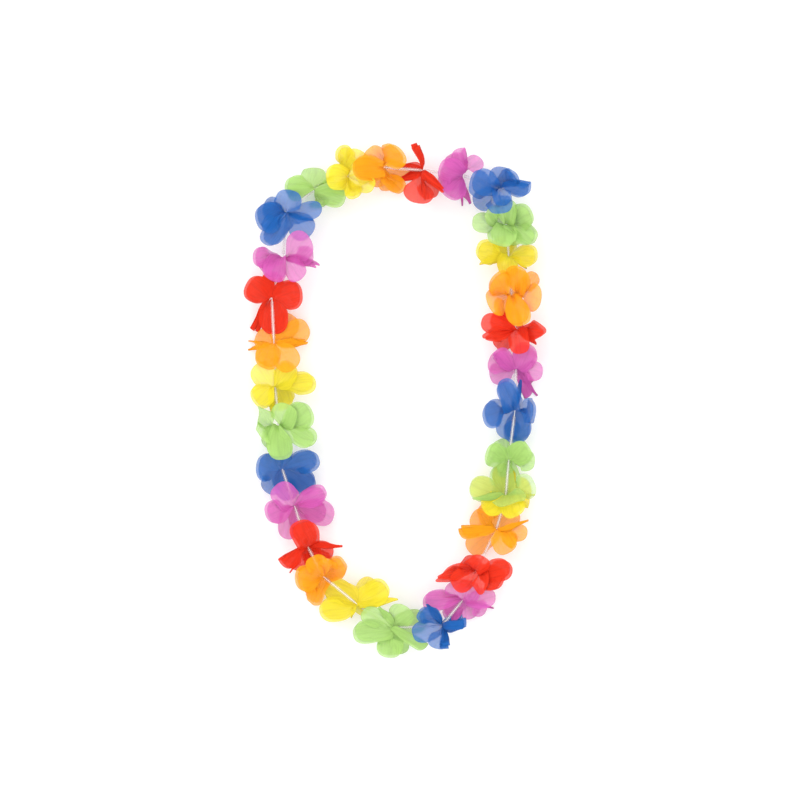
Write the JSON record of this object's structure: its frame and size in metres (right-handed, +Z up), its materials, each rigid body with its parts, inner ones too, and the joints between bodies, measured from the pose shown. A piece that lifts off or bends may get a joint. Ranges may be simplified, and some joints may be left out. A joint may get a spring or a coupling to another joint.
{
  "type": "artificial flower lei",
  "caption": "Closed necklace of sheer cloth blooms in rainbow order, threaded on a knotted cord with clear straw spacers, lying flat.",
  "frame": {"origin": "middle of the lei's outline, on the surface that it lies on", "axes": "+Y along the loop's longer way, towards its squarer end; +Z up, away from the surface"},
  "size_m": [0.2951, 0.5008, 0.0508],
  "materials": {
    "cloth_blue": "sheer woven polyester, crimped petals",
    "cloth_purple": "sheer woven polyester, crimped petals",
    "cloth_red": "sheer woven polyester, crimped petals",
    "cloth_orange": "sheer woven polyester, crimped petals",
    "cloth_yellow": "sheer woven polyester, crimped petals",
    "cloth_green": "sheer woven polyester, crimped petals",
    "straw_plastic": "clear milky plastic",
    "cord_thread": "white twisted cotton thread"
  },
  "bodies": {
    "root": {"bloom_01_blue": "cloth_blue", "bloom_02_purple": "cloth_purple", "bloom_03_red": "cloth_red", "bloom_04_orange": "cloth_orange", "bloom_05_yellow": "cloth_yellow", "bloom_06_green": "cloth_green", "bloom_07_blue": "cloth_blue", "bloom_08_purple": "cloth_purple", "bloom_09_red": "cloth_red", "bloom_10_orange": "cloth_orange", "bloom_11_yellow": "cloth_yellow", "bloom_12_green": "cloth_green", "bloom_13_blue": "cloth_blue", "bloom_14_purple": "cloth_purple", "bloom_15_red": "cloth_red", "bloom_16_orange": "cloth_orange", "bloom_17_yellow": "cloth_yellow", "bloom_18_green": "cloth_green", "bloom_19_blue": "cloth_blue", "bloom_20_purple": "cloth_purple", "bloom_21_red": "cloth_red", "bloom_22_orange": "cloth_orange", "bloom_23_yellow": "cloth_yellow", "bloom_24_green": "cloth_green", "bloom_25_blue": "cloth_blue", "bloom_26_purple": "cloth_purple", "bloom_27_red": "cloth_red", "bloom_28_orange": "cloth_orange", "bloom_29_yellow": "cloth_yellow", "bloom_30_green": "cloth_green", "straw_01": "straw_plastic", "straw_02": "straw_plastic", "straw_03": "straw_plastic", "straw_04": "straw_plastic", "straw_05": "straw_plastic", "straw_06": "straw_plastic", "straw_07": "straw_plastic", "straw_08": "straw_plastic", "straw_09": "straw_plastic", "straw_10": "straw_plastic", "straw_11": "straw_plastic", "straw_12": "straw_plastic", "straw_13": "straw_plastic", "straw_15": "straw_plastic", "straw_16": "straw_plastic", "straw_17": "straw_plastic", "straw_18": "straw_plastic", "straw_19": "straw_plastic", "straw_20": "straw_plastic", "straw_21": "straw_plastic", "straw_22": "straw_plastic", "straw_23": "straw_plastic", "straw_24": "straw_plastic", "straw_25": "straw_plastic", "straw_26": "straw_plastic", "straw_27": "straw_plastic", "straw_28": "straw_plastic", "straw_29": "straw_plastic", "straw_30": "straw_plastic", "cord": "cord_thread"}
  },
  "joints": []
}
